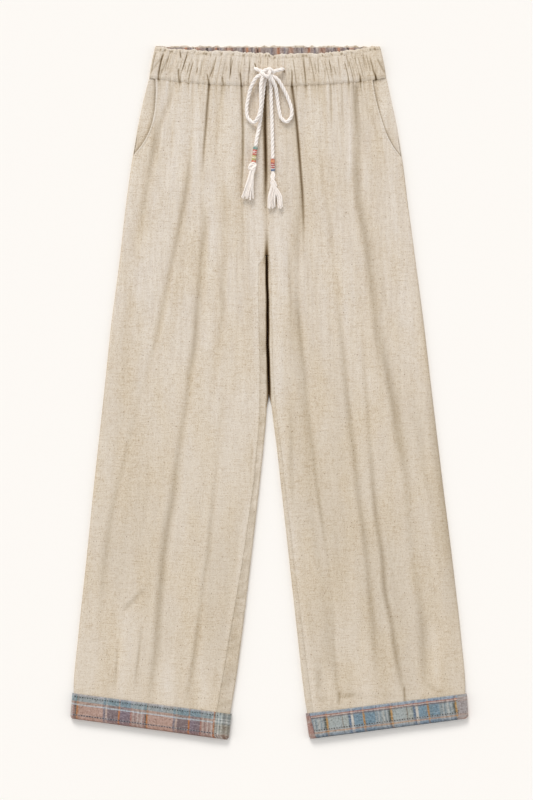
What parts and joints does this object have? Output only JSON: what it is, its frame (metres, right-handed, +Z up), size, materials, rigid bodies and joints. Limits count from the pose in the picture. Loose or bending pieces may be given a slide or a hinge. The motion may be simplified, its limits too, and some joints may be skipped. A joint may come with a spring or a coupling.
{
  "type": "linen drawstring trousers, laid flat",
  "caption": "Wide-leg linen trousers laid flat, with a gathered elastic waist, tied cotton drawstring with tassels, curved pockets and turned-up checked cuffs.",
  "frame": {"origin": "on the surface, under the middle of the garment's box without the drawstring", "axes": "+Y runs up the garment to the waist, +X to the wearer's left, and +Z up out of the surface through the front of the trousers"},
  "size_m": [0.5974, 1.0411, 0.0223],
  "materials": {
    "linen": "slubbed beige linen gauze with fine crinkles",
    "check_rust": "brushed cotton in a pink, mauve, blue and rust check",
    "check_blue": "brushed cotton in a blue, grey-green and gold check",
    "cord": "twisted cream cotton cord",
    "thread": "coloured cotton thread, wound"
  },
  "bodies": {
    "root": {"leg_front_right": "linen", "leg_front_left": "linen", "leg_back_right": "linen", "leg_back_left": "linen", "pocket_facing_right": "linen", "pocket_facing_left": "linen", "waistband_front": "linen", "waistband_back": "linen", "waistband_facing": "check_rust", "cuff_front_right": "check_rust", "cuff_back_right": "check_rust", "cuff_front_left": "check_blue", "cuff_back_left": "check_blue", "drawstring_end_right": "cord", "drawstring_end_left": "cord", "drawstring_knot": "cord", "drawstring_loop_right": "cord", "drawstring_loop_left": "cord", "drawstring_tail_right": "cord", "drawstring_tail_left": "cord", "whipping_right": "thread", "whipping_left": "thread", "tassel_right": "cord", "tassel_left": "cord"}
  },
  "joints": []
}
